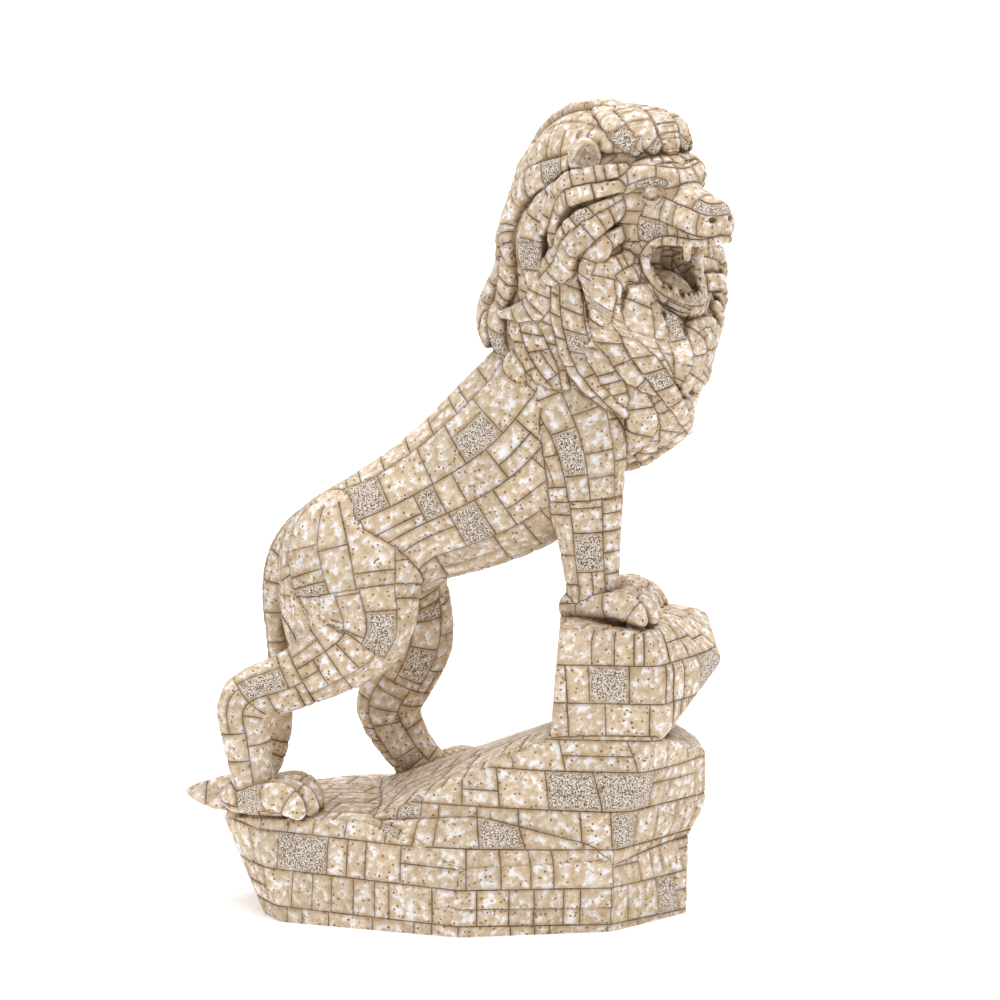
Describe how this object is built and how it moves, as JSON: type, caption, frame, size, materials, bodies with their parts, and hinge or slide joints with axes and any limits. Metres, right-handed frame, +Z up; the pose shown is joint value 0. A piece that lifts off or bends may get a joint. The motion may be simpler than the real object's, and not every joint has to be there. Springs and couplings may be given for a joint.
{
  "type": "mosaic lion figurine",
  "caption": "Roaring lion standing with its forepaws up on a rocky ledge, cast in stone resin with a mosaic of cut stone blocks over lion and rock.",
  "frame": {"origin": "on the underside of the rock base, under the middle of the figure's overall length and width", "axes": "+Z up, +X the way the lion walks, towards its forepaws, and -Y the side that its head looks to"},
  "size_m": [0.218, 0.1231, 0.3248],
  "materials": {
    "stone_resin": "matte"
  },
  "bodies": {
    "root": {"lion_on_rock": "stone_resin"}
  },
  "joints": []
}
